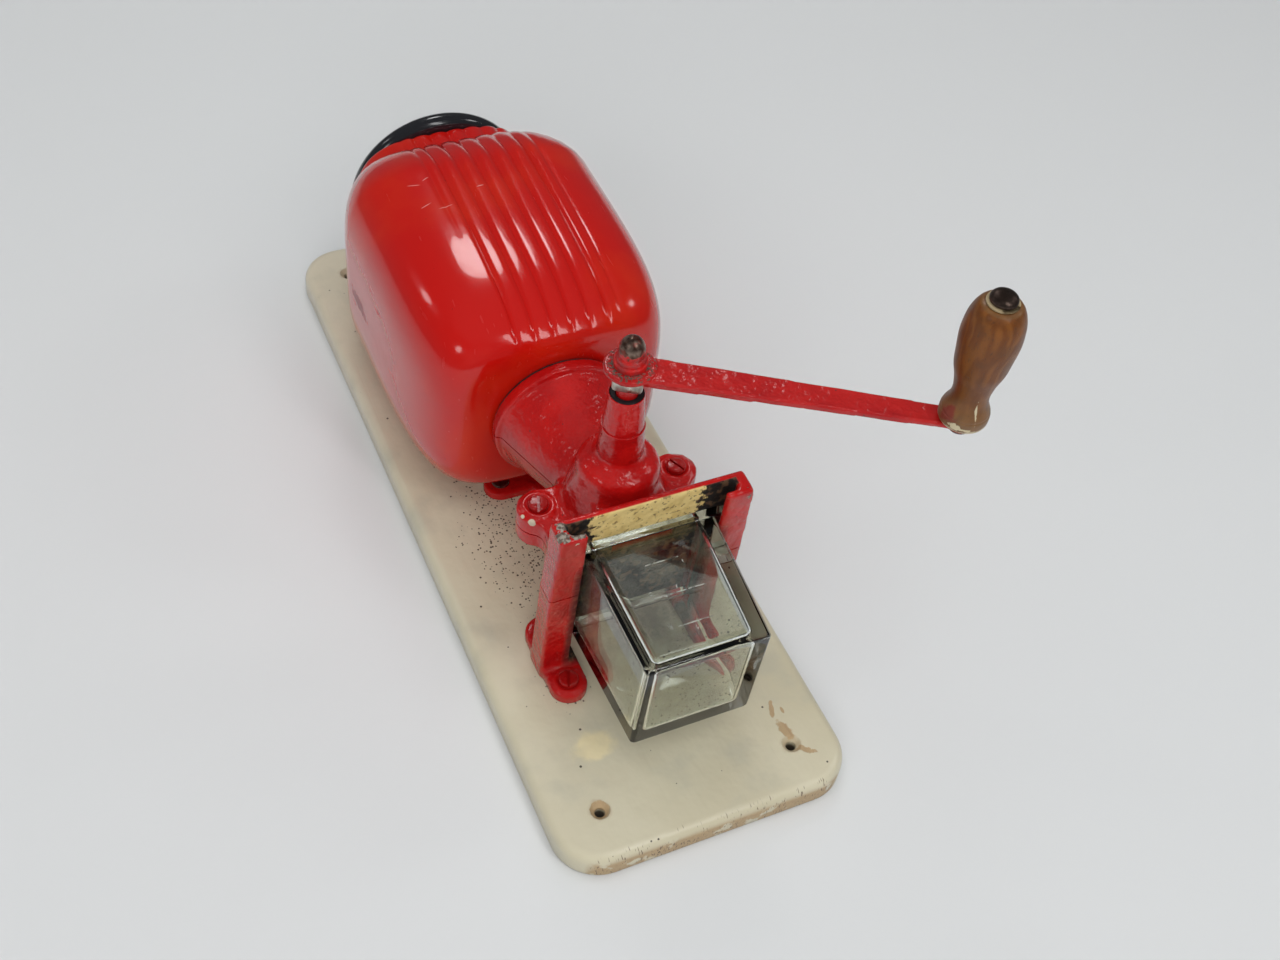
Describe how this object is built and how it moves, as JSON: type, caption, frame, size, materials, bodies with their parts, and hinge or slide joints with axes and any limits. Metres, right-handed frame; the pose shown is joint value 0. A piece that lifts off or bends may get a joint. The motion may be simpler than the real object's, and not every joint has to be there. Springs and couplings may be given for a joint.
{
  "type": "wall-mounted spice mill",
  "caption": "Wall-mounted hand mill on a painted board: ribbed barrel hopper, cast grinder with conical burrs, side-swinging crank with wooden grip, and a glass catcher.",
  "frame": {"origin": "centre of the board's flat back face, which goes against the wall", "axes": "+Z out of the board towards the user, +Y up the wall from the catcher to the hopper, +X to the user's right; the model lies on its back"},
  "size_m": [0.1843, 0.38, 0.2167],
  "materials": {
    "cream_paint": "aged cream oil paint, semi-gloss",
    "red_paint": "red gloss paint on cast iron, chipped at the corners",
    "painted_steel": "red paint worn through on the edges",
    "red_gloss": "high-gloss red with fine scratches",
    "black_gloss": "glossy black",
    "dark_fibre": "matt dark fibre",
    "steel": "worn dull steel",
    "bright_steel": "bright plated steel",
    "burr_iron": "machined cast iron",
    "brass": "plain brass",
    "pale_washer": "tarnished plated washer",
    "wood": "turned hardwood, varnish worn",
    "clear_glass": "thick pressed glass with a grey-green edge"
  },
  "bodies": {
    "root": {"board": "cream_paint", "rear_casting": "red_paint", "front_casting": "red_paint", "left_lug_screw": "painted_steel", "right_lug_screw": "painted_steel", "left_foot_screw": "painted_steel", "right_foot_screw": "painted_steel", "left_upper_foot_screw": "steel", "right_upper_foot_screw": "steel", "hopper": "red_gloss", "hopper_gasket": "dark_fibre", "clamp_ring": "steel", "hopper_screw_1": "steel", "hopper_screw_2": "steel", "hopper_screw_3": "steel", "hopper_screw_4": "steel", "outer_burr": "burr_iron", "thrust_pad": "steel", "rear_bush": "brass", "front_bush": "brass", "dust_ring": "dark_fibre"},
    "crank": {"spindle": "steel", "inner_burr": "burr_iron", "burr_pin": "steel", "feed_worm": "burr_iron", "burr_spring": "steel", "spindle_collar": "painted_steel", "crank_washer": "bright_steel", "crank_arm": "painted_steel", "acorn_nut": "steel", "handle_rivet": "steel", "lower_grip_washer": "pale_washer", "upper_grip_washer": "pale_washer"},
    "handle": {"handle_grip": "wood"},
    "lid": {"hopper_lid": "black_gloss"},
    "catcher": {"catcher_glass": "clear_glass"}
  },
  "joints": [
    {"name": "crank_spin", "type": "hinge", "parent": "root", "child": "crank", "pos_m": [0, -0.068, 0.15], "axis": [0, 0, 1], "continuous": true},
    {"name": "handle_spin", "type": "hinge", "parent": "crank", "child": "handle", "pos_m": [0.10777, -0.13366, 0.18345], "axis": [0, 0, 1], "continuous": true},
    {"name": "lid_pull", "type": "slide", "parent": "root", "child": "lid", "axis": [0, 1, 0], "range_m": [0, 0.04]},
    {"name": "catcher_slide", "type": "slide", "parent": "root", "child": "catcher", "axis": [0, -0.0698, 0.9976], "range_m": [0, 0.045]}
  ]
}
